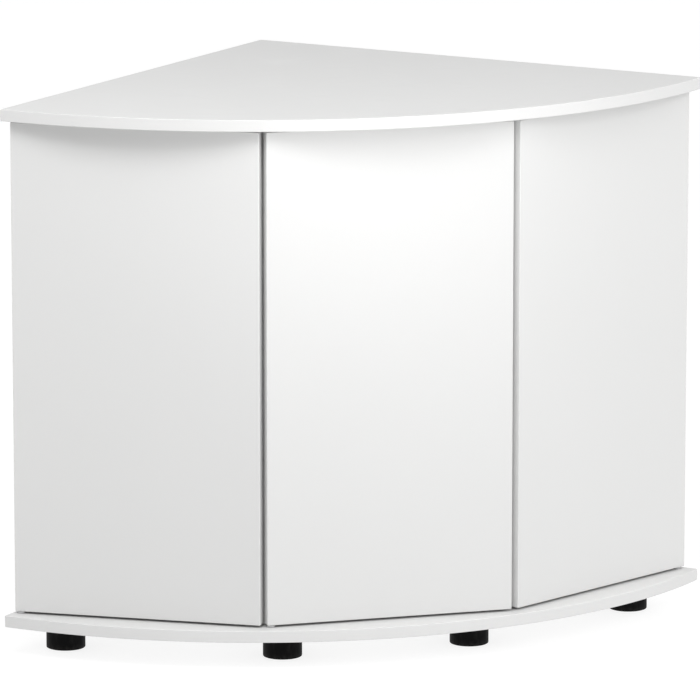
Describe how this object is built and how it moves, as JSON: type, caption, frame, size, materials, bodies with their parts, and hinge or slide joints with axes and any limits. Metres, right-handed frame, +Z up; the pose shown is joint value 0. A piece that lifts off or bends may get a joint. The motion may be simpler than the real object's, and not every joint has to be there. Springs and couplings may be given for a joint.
{
  "type": "aquarium stand cabinet",
  "caption": "Corner aquarium stand cabinet with a quarter-round top and base, flat push-open doors and round black feet.",
  "frame": {"origin": "middle of the footprint's bounding box on the floor; the back corner of the top is at X 0, Y +0.348", "axes": "+Z up, -Y towards the centre door's front, +X to the right seen from the front; the two wall sides run at 45 degrees from the back corner"},
  "size_m": [0.985, 0.6966, 0.746],
  "materials": {
    "white_board": "satin white melamine facing",
    "black_plastic": "moulded, fine grain",
    "white_plastic": "moulded",
    "grey_plastic": "moulded nylon",
    "steel": "zinc plated"
  },
  "bodies": {
    "carcass": {"base_board": "white_board", "centre_door_lower_pivot_pin": "steel", "centre_door_upper_pivot_pin": "steel", "centre_latch_body": "white_plastic", "foot_back_corner": "black_plastic", "foot_front_left_inner": "black_plastic", "foot_front_left_outer": "black_plastic", "foot_front_right_inner": "black_plastic", "foot_front_right_outer": "black_plastic", "foot_screw_back_corner": "steel", "foot_screw_front_left_inner": "steel", "foot_screw_front_left_outer": "steel", "foot_screw_front_right_inner": "steel", "foot_screw_front_right_outer": "steel", "foot_screw_side_left": "steel", "foot_screw_side_right": "steel", "foot_side_left": "black_plastic", "foot_side_right": "black_plastic", "left_door_lower_pivot_pin": "steel", "left_door_upper_pivot_pin": "steel", "left_latch_body": "white_plastic", "left_partition": "white_board", "left_shelf": "white_board", "left_shelf_pin_partition_back": "steel", "left_shelf_pin_partition_front": "steel", "left_shelf_pin_wall_back": "steel", "left_shelf_pin_wall_front": "steel", "left_side_panel": "white_board", "right_door_lower_pivot_pin": "steel", "right_door_upper_pivot_pin": "steel", "right_latch_body": "white_plastic", "right_partition": "white_board", "right_shelf": "white_board", "right_shelf_pin_partition_back": "steel", "right_shelf_pin_partition_front": "steel", "right_shelf_pin_wall_back": "steel", "right_shelf_pin_wall_front": "steel", "right_side_panel": "white_board", "top_board": "white_board"},
    "left_leaf": {"left_door": "white_board", "left_door_lower_bush": "grey_plastic", "left_door_upper_bush": "grey_plastic", "left_strike_pad": "steel"},
    "left_push_rod": {"left_latch_plunger": "grey_plastic"},
    "centre_leaf": {"centre_door": "white_board", "centre_door_lower_bush": "grey_plastic", "centre_door_upper_bush": "grey_plastic", "centre_strike_pad": "steel"},
    "centre_push_rod": {"centre_latch_plunger": "grey_plastic"},
    "right_leaf": {"right_door": "white_board", "right_door_lower_bush": "grey_plastic", "right_door_upper_bush": "grey_plastic", "right_strike_pad": "steel"},
    "right_push_rod": {"right_latch_plunger": "grey_plastic"}
  },
  "joints": [
    {"name": "left_door_swing", "type": "hinge", "parent": "carcass", "child": "left_leaf", "pos_m": [-0.46603, -0.13324, 0.393], "axis": [0, 0, -1], "range_deg": [0, 100]},
    {"name": "centre_door_swing", "type": "hinge", "parent": "carcass", "child": "centre_leaf", "pos_m": [-0.16375, -0.30175, 0.393], "axis": [0, 0, -1], "range_deg": [0, 100]},
    {"name": "right_door_swing", "type": "hinge", "parent": "carcass", "child": "right_leaf", "pos_m": [0.46603, -0.13324, 0.393], "axis": [0, 0, 1], "range_deg": [0, 100]},
    {"name": "left_latch_travel", "type": "slide", "parent": "carcass", "child": "left_push_rod", "axis": [-0.5, -0.866, 0], "range_m": [0, 0.02]},
    {"name": "centre_latch_travel", "type": "slide", "parent": "carcass", "child": "centre_push_rod", "axis": [0, -1, 0], "range_m": [0, 0.02]},
    {"name": "right_latch_travel", "type": "slide", "parent": "carcass", "child": "right_push_rod", "axis": [0.5, -0.866, 0], "range_m": [0, 0.02]}
  ],
  "couplings": [
    {"joint": "left_latch_travel", "follows": "left_door_swing", "m_per_rad": 0.01145},
    {"joint": "centre_latch_travel", "follows": "centre_door_swing", "m_per_rad": 0.01145},
    {"joint": "right_latch_travel", "follows": "right_door_swing", "m_per_rad": 0.01145}
  ]
}
